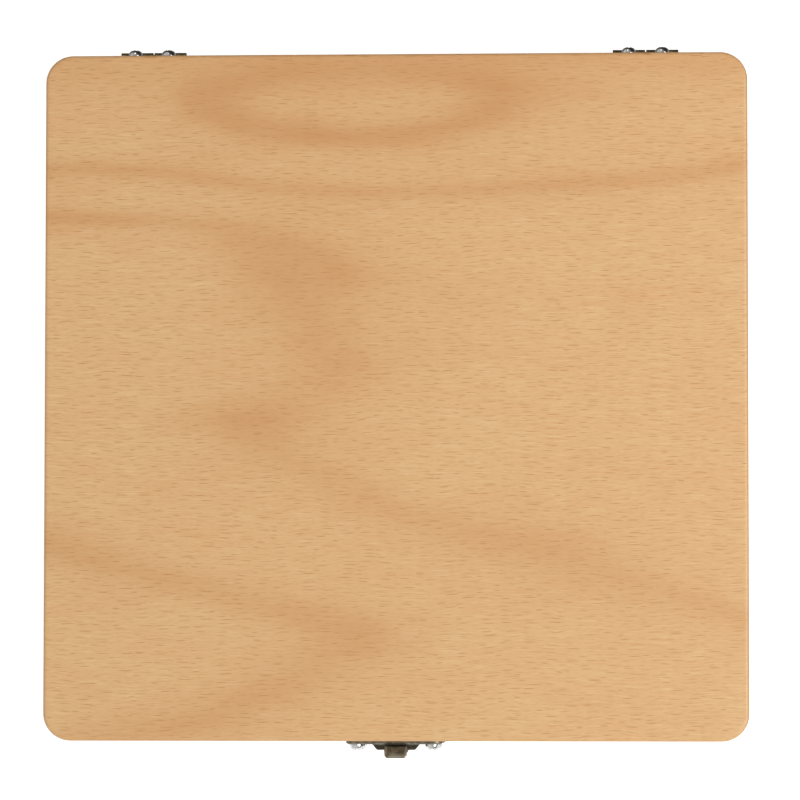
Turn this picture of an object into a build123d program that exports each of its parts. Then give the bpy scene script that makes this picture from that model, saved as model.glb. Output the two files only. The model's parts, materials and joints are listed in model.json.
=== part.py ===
from build123d import *
import math
import os

# Wooden watercolour box, closed. Millimetres, +Z up, hinges at +Y, latch at -Y.
# The origin is the centre of the underside of the case.

# Pans of paint and the tray that carries them
pans_per_row = 12
pan_width = 19.0
pan_length = 30.0
pan_height = 10.0
pan_wall = 0.9
pan_draft = 3.0
pan_corner = 1.6
pan_gap = 0.4
pan_play = 0.3
cake_clearance = 0.1
cake_below_rim = 1.6
tray_wall = 2.6
tray_end_wall = 3.1
tray_height = 14.0
trough_depth = 9.0
trough_corner = 1.5
tray_clearance = 0.4

# Palette bay, divider and brush trough
palette_bay_depth = 112.0
palette_play = 1.5
palette_height = 12.0
palette_rim = 5.0
palette_corner = 6.0
palette_edge = 1.2
well_depth = 4.0
sloped_well_count = 4
sloped_well_corner = 5.0
sloped_well_draft = 30.0
round_well_count = 8
round_well_diameter = 24.0
divider_thickness = 5.0
divider_height = 17.0
scoop_width = 64.0
scoop_depth = 8.0
brush_trough_depth = 47.6

# Case
rail_thickness = 8.0
base_rail_height = 25.0
base_fingers = 5
bottom_thickness = 3.0
bottom_chamfer = 0.6
lid_rail_height = 12.0
lid_fingers = 3
top_thickness = 4.0
top_roundover = 1.0
corner_radius = 10.0
eased_edge = 0.4

# Raised-head screws
head_diameter = 5.3
crown_diameter = 2.0
head_height = 2.4
shank_diameter = 2.2
shank_length = 7.0
pilot_clearance = 0.05
screw_hole_clearance = 0.3

# Hinges, fitted by hand a little differently left and right
left_hinge_x = -90.0
right_hinge_x = 91.0
hinge_length = 24.0
leaf_height = 10.0
leaf_thickness = 0.7
leaf_corner = 0.9
knuckle_count = 4
knuckle_gap = 0.4
hinge_screw_spacing = 12.2
hinge_screw_rise = 6.0

# Pins and the barrels that turn on them
pin_diameter = 1.2
pin_clearance = 0.05
barrel_stand_off = 0.15
barrel_clearance = 0.35

# Latch
plate_width = 35.5
plate_height = 9.0
plate_thickness = 1.0
plate_corner = 2.2
plate_bevel = 0.6
plate_screw_spacing = 27.3
strike_rise = 2.5
hook_root_width = 17.0
hook_nose_width = 14.0
hook_root_low = 0.9
hook_root_height = 4.6
hook_nose_low = 3.2
hook_nose_height = 1.7
hook_reach = 2.2
hook_edge = 0.4
lever_thickness = 0.7
lever_fold = 0.5
lever_clearance = 0.3
lever_knuckle_width = 7.4
lever_side_gap = 0.2
lever_root_width = 12.0
lever_neck_width = 9.0
tab_tip_width = 7.3
tab_corner = 0.6
catch_depth = 1.25
tab_reach = 6.2
tab_rise = 2.0
plate_drop = 5.2

# Sizes that follow from those above
pan_pitch = pan_width + pan_gap
inner_corner = pan_corner - (2 - math.sqrt(2)) * pan_wall
row_length = pans_per_row * pan_pitch - pan_gap
trough_length = row_length + 2 * pan_play
trough_width = pan_length + 2 * pan_play
tray_length = trough_length + 2 * tray_end_wall
tray_depth = 2 * trough_width + 3 * tray_wall
inner_width = tray_length + 2 * tray_clearance
inner_depth = (tray_clearance + tray_depth + palette_bay_depth
               + divider_thickness + brush_trough_depth)
case_width = inner_width + 2 * rail_thickness
case_depth = inner_depth + 2 * rail_thickness

parting_z = bottom_thickness + base_rail_height
panel_z = parting_z + lid_rail_height

tray_y = inner_depth / 2 - tray_clearance - tray_depth / 2
trough_floor_z = bottom_thickness + tray_height - trough_depth
row_offset = (trough_width + tray_wall) / 2
palette_y = tray_y - tray_depth / 2 - palette_bay_depth / 2
divider_y = palette_y - palette_bay_depth / 2 - divider_thickness / 2

barrel_radius = pin_diameter / 2 + pin_clearance + leaf_thickness
barrel_reach = barrel_stand_off + barrel_radius
awl_width = shank_diameter + 2 * pilot_clearance
screw_hole_radius = shank_diameter / 2 + screw_hole_clearance

strike_z = parting_z + strike_rise + plate_height / 2
lower_plate_z = parting_z - plate_drop - barrel_radius - barrel_clearance - plate_height / 2
latch_pivot_z = lower_plate_z + plate_height / 2 + barrel_clearance + barrel_radius

# The four walls as planes, local x along the wall, local y up, normal outwards
front_face = Plane(origin=(0, -case_depth / 2, 0), x_dir=(1, 0, 0), z_dir=(0, -1, 0))
back_face = Plane(origin=(0, case_depth / 2, 0), x_dir=(-1, 0, 0), z_dir=(0, 1, 0))
left_face = Plane(origin=(-case_width / 2, 0, 0), x_dir=(0, -1, 0), z_dir=(-1, 0, 0))
right_face = Plane(origin=(case_width / 2, 0, 0), x_dir=(0, 1, 0), z_dir=(1, 0, 0))

# Screw centres, each (local x, height) on its wall
hinge_centres = {"left": left_hinge_x, "right": right_hinge_x}


def hinge_screw_centres(height):
    return [(-(x + step * hinge_screw_spacing / 2), height)
            for x in hinge_centres.values() for step in (-1, 1)]


def latch_screw_centres(height):
    return [(-plate_screw_spacing / 2, height), (plate_screw_spacing / 2, height)]


lid_hinge_screws = hinge_screw_centres(parting_z + hinge_screw_rise)
base_hinge_screws = hinge_screw_centres(parting_z - hinge_screw_rise)
strike_screws = latch_screw_centres(strike_z)
lower_plate_screws = latch_screw_centres(lower_plate_z)


def save(builder, name):
    builder.part.label = name
    export_step(builder.part, f"parts/{name}.step")


# One rail of a finger-jointed frame. The frame's outline is rounded at the corners and
# eased along the parting plane, and the comb cut at each end meshes with the next rail's.
# Screw pilots are square, as a square awl pierces them.
def frame_rail(face, length, z_low, height, fingers, cut_fingers, eased_loop, pilots=()):
    finger = height / fingers
    with BuildPart() as rail:
        with BuildSketch(Plane.XY.offset(z_low)):
            RectangleRounded(case_width, case_depth, corner_radius)
        extrude(amount=height)
        chamfer(rail.edges().group_by(Axis.Z)[eased_loop], length=eased_edge)
        with BuildSketch(face):
            with Locations((0, z_low + height / 2)):
                Rectangle(length, height)
            for layer in range(cut_fingers, fingers, 2):
                with Locations((-length / 2, z_low + (layer + 0.5) * finger),
                               (length / 2, z_low + (layer + 0.5) * finger)):
                    Rectangle(2 * rail_thickness, finger, mode=Mode.SUBTRACT)
        extrude(amount=-rail_thickness, mode=Mode.INTERSECT)
        if pilots:
            with BuildSketch(face):
                with Locations(*pilots):
                    Rectangle(awl_width, awl_width)
            extrude(amount=-shank_length, mode=Mode.SUBTRACT)
    return rail


def case_frame(prefix, z_low, height, fingers, eased_loop, back_pilots, front_pilots):
    walls = {
        "front": (front_face, case_width, 1, front_pilots),
        "back": (back_face, case_width, 1, back_pilots),
        "left": (left_face, case_depth, 0, ()),
        "right": (right_face, case_depth, 0, ()),
    }
    for side, (face, length, cut_fingers, pilots) in walls.items():
        rail = frame_rail(face, length, z_low, height, fingers, cut_fingers, eased_loop, pilots)
        save(rail, f"{prefix}_{side}_rail")


# Bottom panel: glued under the base rails, its lower edge chamfered
def bottom_panel():
    with BuildPart() as board:
        with BuildSketch():
            RectangleRounded(case_width, case_depth, corner_radius)
        extrude(amount=bottom_thickness)
        chamfer(board.edges().group_by(Axis.Z)[0], length=bottom_chamfer)
    return board


# Top panel: glued over the lid rails, its upper edge rounded over
def top_panel():
    with BuildPart() as board:
        with BuildSketch(Plane.XY.offset(panel_z)):
            RectangleRounded(case_width, case_depth, corner_radius)
        extrude(amount=top_thickness)
        fillet(board.edges().group_by(Axis.Z)[-1], radius=top_roundover)
    return board


# Wood screws driven through one wall, their raised heads seated a sheet's thickness off it
def screws(face, centres, seat):
    with BuildPart() as screw:
        with BuildSketch(Plane.XZ):
            with BuildLine():
                Polyline((0, head_height), (crown_diameter / 2, head_height),
                         (head_diameter / 2, 0), (shank_diameter / 2, 0),
                         (shank_diameter / 2, -shank_length), (0, -shank_length), close=True)
            make_face()
        revolve(axis=Axis.Z)
    with BuildPart() as group:
        with Locations(*[face.offset(seat).location * Location((x, z, 0)) for x, z in centres]):
            add(screw.part)
    return group


# A plain pin lying along X, flush with the ends of its barrel
def pin(centre_x, y, z, barrel_length):
    with BuildPart() as stem:
        with BuildSketch(Plane.YZ.offset(centre_x - barrel_length / 2)):
            with Locations((y, z)):
                Circle(pin_diameter / 2)
        extrude(amount=barrel_length)
    return stem


# One hinge leaf: a plate on the back wall, its own knuckles rolled round the pin, and
# notches that leave room for the other leaf's. up is 1 on the lid and -1 on the base.
def hinge_leaf(centre_x, up, first_knuckle):
    pitch = (hinge_length + knuckle_gap) / knuckle_count
    knuckle_length = pitch - knuckle_gap
    barrel_y = case_depth / 2 + barrel_reach
    middle = (knuckle_count - 1) / 2
    with BuildPart() as leaf:
        with BuildSketch(back_face) as outline:
            with Locations((-centre_x, parting_z + up * leaf_height / 2)):
                Rectangle(hinge_length, leaf_height)
            chamfer(outline.vertices().group_by(Axis.Y)[-1 if up > 0 else 0], leaf_corner)
            for i in range(1 - first_knuckle, knuckle_count, 2):
                with Locations((-(centre_x + (i - middle) * pitch), parting_z)):
                    Rectangle(knuckle_length + 2 * knuckle_gap,
                              2 * (barrel_radius + barrel_clearance), mode=Mode.SUBTRACT)
            with Locations((-centre_x, parting_z + up * hinge_screw_rise)):
                with GridLocations(hinge_screw_spacing, 0, 2, 1):
                    Circle(screw_hole_radius, mode=Mode.SUBTRACT)
        extrude(amount=leaf_thickness)
        for i in range(first_knuckle, knuckle_count, 2):
            start = centre_x + (i - middle) * pitch - knuckle_length / 2
            with BuildSketch(Plane.YZ.offset(start)):
                with Locations((barrel_y, parting_z)):
                    Circle(barrel_radius)
            extrude(amount=knuckle_length)
        with BuildSketch(Plane.YZ.offset(centre_x - hinge_length / 2)):
            with Locations((barrel_y, parting_z)):
                Circle(pin_diameter / 2 + pin_clearance)
        extrude(amount=hinge_length, mode=Mode.SUBTRACT)
    return leaf


# The stamped outline that both latch plates share, bevelled round its outer face
def latch_plate(centre_z):
    with BuildPart() as plate:
        with BuildSketch(front_face) as outline:
            with Locations((0, centre_z)):
                Rectangle(plate_width, plate_height)
            chamfer(outline.vertices(), length=plate_corner)
        extrude(amount=plate_thickness)
        chamfer(plate.edges().group_by(Axis.Y)[0], length=plate_bevel)
        with BuildSketch(front_face):
            with Locations(*latch_screw_centres(centre_z)):
                Circle(screw_hole_radius)
        extrude(amount=plate_thickness, mode=Mode.SUBTRACT)
    return plate


# Strike plate on the lid: a hook pressed out of the sheet, ramped below and flat on top
def strike_plate():
    foot_z = strike_z - plate_height / 2
    sheet = latch_plate(strike_z)
    with BuildPart() as plate:
        add(sheet.part)
        with BuildSketch(front_face.offset(plate_thickness)):
            with Locations((0, foot_z + hook_root_low + hook_root_height / 2)):
                Rectangle(hook_root_width, hook_root_height)
        with BuildSketch(front_face.offset(plate_thickness + hook_reach)):
            with Locations((0, foot_z + hook_nose_low + hook_nose_height / 2)):
                Rectangle(hook_nose_width, hook_nose_height)
        loft(ruled=True)
        fillet(plate.edges().group_by(Axis.Y)[0], radius=hook_edge)
    return plate


# Lower plate on the base: two knuckles rolled out of its upper edge, one each side
def lower_plate():
    strap_foot = lower_plate_z
    strap_width = (lever_root_width - lever_knuckle_width) / 2 - lever_side_gap
    strap_x = lever_root_width / 2 - strap_width / 2
    sheet = latch_plate(lower_plate_z)
    with BuildPart() as plate:
        add(sheet.part)
        with BuildSketch(front_face):
            with Locations((-strap_x, (strap_foot + latch_pivot_z) / 2),
                           (strap_x, (strap_foot + latch_pivot_z) / 2)):
                Rectangle(strap_width, latch_pivot_z - strap_foot)
        extrude(amount=plate_thickness)
        for x in (-strap_x, strap_x):
            with BuildSketch(Plane.YZ.offset(x - strap_width / 2)):
                with Locations((-case_depth / 2 - barrel_reach, latch_pivot_z)):
                    Circle(barrel_radius)
            extrude(amount=strap_width)
        with BuildSketch(Plane.YZ.offset(-lever_root_width / 2)):
            with Locations((-case_depth / 2 - barrel_reach, latch_pivot_z)):
                Circle(pin_diameter / 2 + pin_clearance)
        extrude(amount=lever_root_width, mode=Mode.SUBTRACT)
    return plate


# Latch lever: one folded strip. It climbs from its knuckle past the hook's nose, folds
# in over the hook's flat top as the catch, and turns out again as the thumb tab.
def lever():
    wall = -case_depth / 2
    half = lever_thickness / 2
    hook_top = strike_z - plate_height / 2 + hook_root_low + hook_root_height
    nose_out = plate_thickness + hook_reach
    root_out = barrel_reach + barrel_radius - half
    front_out = nose_out + lever_clearance + half
    catch_out = nose_out - catch_depth + half
    catch_z = hook_top + lever_clearance + half
    hook_foot = strike_z - plate_height / 2
    tab_z = catch_z + tab_rise
    route = [
        (wall - root_out, latch_pivot_z),
        (wall - root_out, latch_pivot_z + 1.5 * barrel_radius),
        (wall - front_out, hook_foot),
        (wall - front_out, catch_z - half),
        (wall - catch_out, catch_z + half / 2),
        (wall - tab_reach, tab_z),
    ]
    clear_z = latch_pivot_z + barrel_radius + barrel_clearance
    with BuildPart() as piece:
        with BuildSketch(Plane.YZ.offset(-lever_root_width / 2)):
            with BuildLine():
                spine = FilletPolyline(*route, radius=lever_fold)
                offset(spine, amount=half, side=Side.BOTH, mode=Mode.REPLACE)
            make_face()
        extrude(amount=lever_root_width)
        with BuildSketch(front_face) as outline:
            with BuildLine():
                Polyline(
                    (-lever_knuckle_width / 2, latch_pivot_z - barrel_radius),
                    (lever_knuckle_width / 2, latch_pivot_z - barrel_radius),
                    (lever_knuckle_width / 2, clear_z),
                    (lever_root_width / 2, clear_z),
                    (lever_root_width / 2, hook_foot - plate_height / 4),
                    (lever_neck_width / 2, hook_foot + hook_root_low),
                    (lever_neck_width / 2, catch_z - half),
                    (tab_tip_width / 2, tab_z + half),
                    (-tab_tip_width / 2, tab_z + half),
                    (-lever_neck_width / 2, catch_z - half),
                    (-lever_neck_width / 2, hook_foot + hook_root_low),
                    (-lever_root_width / 2, hook_foot - plate_height / 4),
                    (-lever_root_width / 2, clear_z),
                    (-lever_knuckle_width / 2, clear_z),
                    close=True,
                )
            make_face()
            fillet(outline.vertices().group_by(Axis.Y)[-1], tab_corner)
        extrude(amount=tab_reach + lever_thickness, mode=Mode.INTERSECT)
        with BuildSketch(Plane.YZ.offset(-lever_knuckle_width / 2)):
            with Locations((wall - barrel_reach, latch_pivot_z)):
                Circle(barrel_radius)
        extrude(amount=lever_knuckle_width)
        with BuildSketch(Plane.YZ.offset(-lever_knuckle_width / 2)):
            with Locations((wall - barrel_reach, latch_pivot_z)):
                Circle(pin_diameter / 2 + pin_clearance)
        extrude(amount=lever_knuckle_width, mode=Mode.SUBTRACT)
    return piece


# Tray for the pans: a solid board with two troughs routed along it
def pan_tray():
    with BuildPart() as tray:
        with BuildSketch(Plane.XY.offset(bottom_thickness)):
            with Locations((0, tray_y)):
                Rectangle(tray_length, tray_depth)
        extrude(amount=tray_height)
        with BuildSketch(Plane.XY.offset(trough_floor_z)):
            with Locations((0, tray_y - row_offset), (0, tray_y + row_offset)):
                RectangleRounded(trough_length, trough_width, trough_corner)
        extrude(amount=trough_depth, mode=Mode.SUBTRACT)
    return tray


def pan_centres(row_y):
    middle = (pans_per_row - 1) / 2
    return [((i - middle) * pan_pitch, row_y) for i in range(pans_per_row)]


# Open moulded pans, drafted from the rim down and hollowed to an even wall
def pan_row(row_y):
    rim_z = trough_floor_z + pan_height
    with BuildPart() as pans:
        with BuildSketch(Plane.XY.offset(rim_z)) as outside:
            with Locations(*pan_centres(row_y)):
                Rectangle(pan_width, pan_length)
            chamfer(outside.vertices(), length=pan_corner)
        extrude(amount=pan_height, dir=(0, 0, -1), taper=pan_draft)
        with BuildSketch(Plane.XY.offset(rim_z)) as inside:
            with Locations(*pan_centres(row_y)):
                Rectangle(pan_width - 2 * pan_wall, pan_length - 2 * pan_wall)
            chamfer(inside.vertices(), length=inner_corner)
        extrude(amount=pan_height - pan_wall, dir=(0, 0, -1), taper=pan_draft, mode=Mode.SUBTRACT)
    return pans


# Cake of paint standing on its pan's floor, clear of the drafted walls all round
def cake(x, y):
    top_z = trough_floor_z + pan_height - cake_below_rim
    height = pan_height - pan_wall - cake_below_rim
    inset = pan_wall + cake_clearance + cake_below_rim * math.tan(math.radians(pan_draft))
    with BuildPart() as block:
        with BuildSketch(Plane.XY.offset(top_z)) as outline:
            with Locations((x, y)):
                Rectangle(pan_width - 2 * inset, pan_length - 2 * inset)
            chamfer(outline.vertices(), length=inner_corner)
        extrude(amount=height, dir=(0, 0, -1), taper=pan_draft)
    return block


# Porcelain palette: a row of sloped wells for washes and a row of round wells behind it
def palette():
    length = inner_width - 2 * palette_play
    depth = palette_bay_depth - 2 * palette_play
    top_z = bottom_thickness + palette_height
    sloped_width = (length - (sloped_well_count + 1) * palette_rim) / sloped_well_count
    sloped_depth = depth - 3 * palette_rim - round_well_diameter
    sloped_y = palette_y - depth / 2 + palette_rim + sloped_depth / 2
    round_y = palette_y + depth / 2 - palette_rim - round_well_diameter / 2
    round_pitch = (length - palette_rim) / round_well_count
    with BuildPart() as slab:
        with BuildSketch(Plane.XY.offset(bottom_thickness)):
            with Locations((0, palette_y)):
                RectangleRounded(length, depth, palette_corner)
        extrude(amount=palette_height)
        chamfer(slab.edges().group_by(Axis.Z)[-1], length=palette_edge)
        with BuildSketch(Plane.XY.offset(top_z)) as wells:
            with Locations((0, sloped_y)):
                with GridLocations(sloped_width + palette_rim, 0, sloped_well_count, 1):
                    Rectangle(sloped_width, sloped_depth)
            chamfer(wells.vertices(), length=sloped_well_corner)
        extrude(amount=well_depth, dir=(0, 0, -1), taper=sloped_well_draft, mode=Mode.SUBTRACT)
        with BuildSketch(Plane.XY.offset(top_z)):
            with Locations((0, round_y)):
                with GridLocations(round_pitch, 0, round_well_count, 1):
                    Circle(round_well_diameter / 2)
        extrude(amount=-well_depth, mode=Mode.SUBTRACT)
    return slab


# Divider with a shallow scoop, so that fingers can reach the brushes
def divider():
    top_z = bottom_thickness + divider_height
    with BuildPart() as strip:
        with BuildSketch(Plane.XZ.offset(-divider_y - divider_thickness / 2)):
            with Locations((0, bottom_thickness + divider_height / 2)):
                Rectangle(inner_width, divider_height)
            with BuildLine():
                SagittaArc((-scoop_width / 2, top_z), (scoop_width / 2, top_z), -scoop_depth)
                Line((scoop_width / 2, top_z), (-scoop_width / 2, top_z))
            make_face(mode=Mode.SUBTRACT)
        extrude(amount=divider_thickness)
    return strip


# Paint colours, back row then front row, left to right
back_row_colours = [
    "white", "lemon_yellow", "golden_yellow", "orange", "vermilion", "scarlet",
    "crimson", "rose", "magenta", "violet", "ultramarine", "cobalt_blue",
]
front_row_colours = [
    "sky_blue", "turquoise", "emerald", "sap_green", "olive_green", "yellow_ochre",
    "raw_sienna", "burnt_sienna", "burnt_umber", "sepia", "blue_grey", "black",
]

os.makedirs("parts", exist_ok=True)

case_frame("base", bottom_thickness, base_rail_height, base_fingers, -1,
           base_hinge_screws, lower_plate_screws)
case_frame("lid", parting_z, lid_rail_height, lid_fingers, 0, lid_hinge_screws, strike_screws)
save(bottom_panel(), "base_bottom_panel")
save(top_panel(), "lid_top_panel")

for side, hinge_x in hinge_centres.items():
    save(hinge_leaf(hinge_x, 1, 0), f"{side}_hinge_lid_leaf")
    save(hinge_leaf(hinge_x, -1, 1), f"{side}_hinge_base_leaf")
    save(pin(hinge_x, case_depth / 2 + barrel_reach, parting_z, hinge_length),
         f"{side}_hinge_pin")
save(screws(back_face, lid_hinge_screws, leaf_thickness), "hinge_lid_screws")
save(screws(back_face, base_hinge_screws, leaf_thickness), "hinge_base_screws")

save(strike_plate(), "latch_strike_plate")
save(lower_plate(), "latch_lower_plate")
save(lever(), "latch_lever")
save(pin(0, -case_depth / 2 - barrel_reach, latch_pivot_z, lever_root_width), "latch_pin")
save(screws(front_face, strike_screws, plate_thickness), "latch_strike_screws")
save(screws(front_face, lower_plate_screws, plate_thickness), "latch_lower_screws")

save(pan_tray(), "pan_tray")
for row, row_y, colours in (("back", tray_y + row_offset, back_row_colours),
                            ("front", tray_y - row_offset, front_row_colours)):
    save(pan_row(row_y), f"pans_{row}_row")
    for (x, y), colour in zip(pan_centres(row_y), colours):
        save(cake(x, y), f"paint_{colour}")
save(palette(), "mixing_palette")
save(divider(), "brush_divider")

print("case", round(case_width, 2), "x", round(case_depth, 2), "x", panel_z + top_thickness)
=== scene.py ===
import json
import math

import bpy
import numpy as np
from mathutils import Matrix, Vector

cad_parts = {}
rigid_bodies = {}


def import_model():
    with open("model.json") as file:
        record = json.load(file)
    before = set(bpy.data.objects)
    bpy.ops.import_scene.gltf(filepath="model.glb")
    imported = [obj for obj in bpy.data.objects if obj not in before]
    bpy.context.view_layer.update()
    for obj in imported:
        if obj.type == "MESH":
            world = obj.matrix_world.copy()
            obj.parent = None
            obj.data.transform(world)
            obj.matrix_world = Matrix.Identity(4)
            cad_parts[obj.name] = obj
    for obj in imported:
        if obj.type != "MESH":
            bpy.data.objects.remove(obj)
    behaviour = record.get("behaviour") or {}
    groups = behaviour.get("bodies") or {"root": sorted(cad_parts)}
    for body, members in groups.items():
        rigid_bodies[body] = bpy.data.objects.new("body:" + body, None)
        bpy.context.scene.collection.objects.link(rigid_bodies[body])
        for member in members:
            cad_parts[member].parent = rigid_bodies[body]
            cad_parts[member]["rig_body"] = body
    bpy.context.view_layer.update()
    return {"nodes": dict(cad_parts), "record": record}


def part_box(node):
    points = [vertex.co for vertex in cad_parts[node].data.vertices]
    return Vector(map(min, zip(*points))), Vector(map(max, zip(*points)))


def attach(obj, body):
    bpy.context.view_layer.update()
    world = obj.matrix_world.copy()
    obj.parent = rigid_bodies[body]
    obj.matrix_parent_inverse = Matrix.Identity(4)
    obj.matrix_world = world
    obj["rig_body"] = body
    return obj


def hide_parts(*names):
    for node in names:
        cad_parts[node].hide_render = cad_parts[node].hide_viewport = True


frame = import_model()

mm = 0.001
case = {"halfX": 128.0, "halfY": 125.0, "rail": 8.0}      # the walls' outside and thickness
slotOfNode = {part["node"]: part["material_slot"] for part in frame["record"]["subparts"]}
print("frame loaded,", len(frame["nodes"]), "nodes")


# An sRGB hex colour as the linear colour that Blender works in
def linearColour(hexText):
    channels = [int(hexText[i:i + 2], 16) / 255 for i in (0, 2, 4)]
    return tuple(c / 12.92 if c <= 0.04045 else ((c + 0.055) / 1.055) ** 2.4
                 for c in channels) + (1.0,)


# Adds a node. Settings are its properties. Feeds, in a dictionary by input or in a list in
# their order, are values, sRGB hex colours, sockets, or nodes that give their first output.
def add(tree, kind, feeds=(), **settings):
    made = tree.nodes.new("ShaderNode" + kind)
    for name, value in settings.items():
        setattr(made, name, value)
    for key, value in feeds.items() if isinstance(feeds, dict) else enumerate(feeds):
        if isinstance(value, bpy.types.Node):
            value = value.outputs[0]
        if isinstance(value, bpy.types.NodeSocket):
            tree.links.new(value, made.inputs[key])
        else:
            turned = linearColour(value) if isinstance(value, str) else value
            made.inputs[key].default_value = turned
    return made


# A new material, its node tree, and the point on the object in metres
def newMaterial(name):
    material = bpy.data.materials.new(name)
    material.use_nodes = True
    tree = material.node_tree
    tree.nodes.clear()
    return material, tree, add(tree, "TexCoord").outputs["Object"]


# Ends a material: layers laid over its colour, each with its share, a range that gives the
# roughness, a height as bump with its strength and its depth in millimetres, then the shader
# with its further inputs
def closeMaterial(tree, colour, layers, rough, height, bump, further):
    for share, over in layers:
        colour = add(tree, "Mix", {0: share, 6: colour, 7: over}, data_type="RGBA").outputs[2]
    raised = add(tree, "Bump", {"Height": height, "Strength": bump[0], "Distance": bump[1] * mm})
    shader = add(tree, "BsdfPrincipled", {"Base Color": colour, "Normal": raised,
                                          "Roughness": add(tree, "MapRange", rough), **further})
    add(tree, "OutputMaterial", [shader])


def addObject(name, data):
    made = bpy.data.objects.new(name, data)
    bpy.context.scene.collection.objects.link(made)
    return made


# Puts arrays into a mesh object that rides on a body and stands for a CAD node
def makePiece(name, shells, material, node, attributes=None, sharpAngle=40.0):
    verts = np.concatenate([shell[0] for shell in shells])
    faces, start = [], 0
    for points, polygons in shells:
        for group in polygons:
            faces += (np.asarray(group) + start).tolist()
        start += len(points)
    mesh = bpy.data.meshes.new(name)
    mesh.from_pydata((verts * mm).tolist(), [], faces)
    for label, values in (attributes or {}).items():
        layer = mesh.attributes.new(label, "FLOAT", "POINT")
        layer.data.foreach_set("value", values.astype(np.float32))
    mesh.polygons.foreach_set("use_smooth", np.ones(len(mesh.polygons), bool))
    mesh.set_sharp_from_angle(angle=math.radians(sharpAngle))
    mesh.materials.append(material)
    mesh.update()
    piece = addObject(name, mesh)
    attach(piece, frame["nodes"][node]["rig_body"])
    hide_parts(node)


# Surfaces come from arrays in millimetres. A shell is its points and its groups of faces.

# A square grid pressed into a rounded rectangle: inside each corner's square a point (p, q)
# moves to (p sqrt(1 - q^2/2), q sqrt(1 - p^2/2)), which turns the square into a quarter disc.
def roundedGrid(xLines, yLines, radius):
    x, y = np.meshgrid(xLines, yLines)
    centreX, centreY = xLines[-1] - radius, yLines[-1] - radius
    p = np.clip(np.abs(x) - centreX, 0, None) / radius
    q = np.clip(np.abs(y) - centreY, 0, None) / radius
    x = np.sign(x) * (np.minimum(np.abs(x), centreX) + radius * p * np.sqrt(1 - q * q / 2))
    y = np.sign(y) * (np.minimum(np.abs(y), centreY) + radius * q * np.sqrt(1 - p * p / 2))
    return x, y


# Rings of quads below a closed loop. Each ring is the loop's core line plus its outward
# direction times (radius - inset), at the level that the rim table gives with the inset.
def ringsBelow(loop, core, direction, radius, rim, start):
    count = len(loop)
    levels = np.array(rim, float)
    rings = core[None] + direction[None] * (radius - levels[:, 0])[:, None, None]
    points = np.concatenate([rings, np.broadcast_to(levels[:, 1, None, None],
                                                    rings.shape[:2] + (1,))], axis=2)
    ids = np.vstack([loop, start + np.arange(len(rim) * count).reshape(-1, count)])
    following = np.roll(ids, -1, axis=1)
    quads = np.stack([ids[:-1], ids[1:], following[1:], following[:-1]], axis=-1).reshape(-1, 4)
    return points.reshape(-1, 3), quads, ids[-1]


# A slab with a shaped top: a rounded grid whose level is heightAt(x, y), or one number where
# it is flat, then the rings of its rim, then one flat face below
def slab(xLines, yLines, outerRadius, rim, heightAt):
    inset = rim[0][0]
    radius = outerRadius - inset
    x, y = roundedGrid(xLines, yLines, radius)
    level = heightAt(x, y) if callable(heightAt) else np.full(x.shape, heightAt)
    top = np.stack([x, y, level], axis=-1).reshape(-1, 3)
    ids = np.arange(x.size).reshape(x.shape)
    quads = np.stack([ids[:-1, :-1], ids[:-1, 1:], ids[1:, 1:], ids[1:, :-1]], axis=-1)
    loop = np.concatenate([ids[0, :-1], ids[:-1, -1], ids[-1, :0:-1], ids[:0:-1, 0]])
    edge = top[loop, :2]
    limit = np.array([xLines[-1] - radius, yLines[-1] - radius])
    core = np.sign(edge) * np.minimum(np.abs(edge), limit)
    direction = (edge - core) / radius
    below, walls, last = ringsBelow(loop, core, direction, outerRadius, rim[1:], len(top))
    return np.concatenate([top, below]), [quads.reshape(-1, 4), walls, [last[::-1]]]


# The outline of a rounded rectangle as a core line and outward directions, corner by corner
def roundedLoop(halfX, halfY, radius, cornerSteps):
    turn = np.linspace(0, math.pi / 2, cornerSteps)
    angles = np.concatenate([turn + k * math.pi / 2 for k in range(4)])
    signs = np.repeat([[1, 1], [-1, 1], [-1, -1], [1, -1]], cornerSteps, axis=0)
    core = signs * np.array([halfX - radius, halfY - radius])
    return core, np.stack([np.cos(angles), np.sin(angles)], axis=1)


# A shell carried round an outline from its inner cap over the rim to its outer cap
def ringShell(core, direction, radius, profile):
    first = np.array(profile[0], float)
    loop = np.arange(len(core))
    flat = core + direction * (radius - first[0])
    top = np.concatenate([flat, np.full((len(core), 1), first[1])], axis=1)
    below, walls, last = ringsBelow(loop, core, direction, radius, profile[1:], len(top))
    return np.concatenate([top, below]), [[loop], walls, [last[::-1]]]


# A polyline whose corners are rounded: near each corner the point runs along the parabola
# between the two sides, within the given reach
def roundedPath(points, reach, steps=7):
    points = np.array(points, float)
    t = np.linspace(0, 1, steps)[:, None]
    parts = [points[:1]]
    for before, corner, after in zip(points[:-2], points[1:-1], points[2:]):
        near = min(reach, np.linalg.norm(corner - before) / 2, np.linalg.norm(after - corner) / 2)
        a = corner + (before - corner) / np.linalg.norm(before - corner) * near
        b = corner + (after - corner) / np.linalg.norm(after - corner) * near
        parts.append((1 - t) ** 2 * a + 2 * t * (1 - t) * corner + t * t * b)
    return np.concatenate(parts + [points[-1:]])


# Points spread evenly along a path
def evenly(path, spacing):
    runs = np.concatenate([[0], np.cumsum(np.linalg.norm(np.diff(path, axis=0), axis=1))])
    places = np.linspace(0, runs[-1], max(2, int(math.ceil(runs[-1] / spacing)) + 1))
    return np.stack([np.interp(places, runs, path[:, k]) for k in range(2)], axis=1), places


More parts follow.
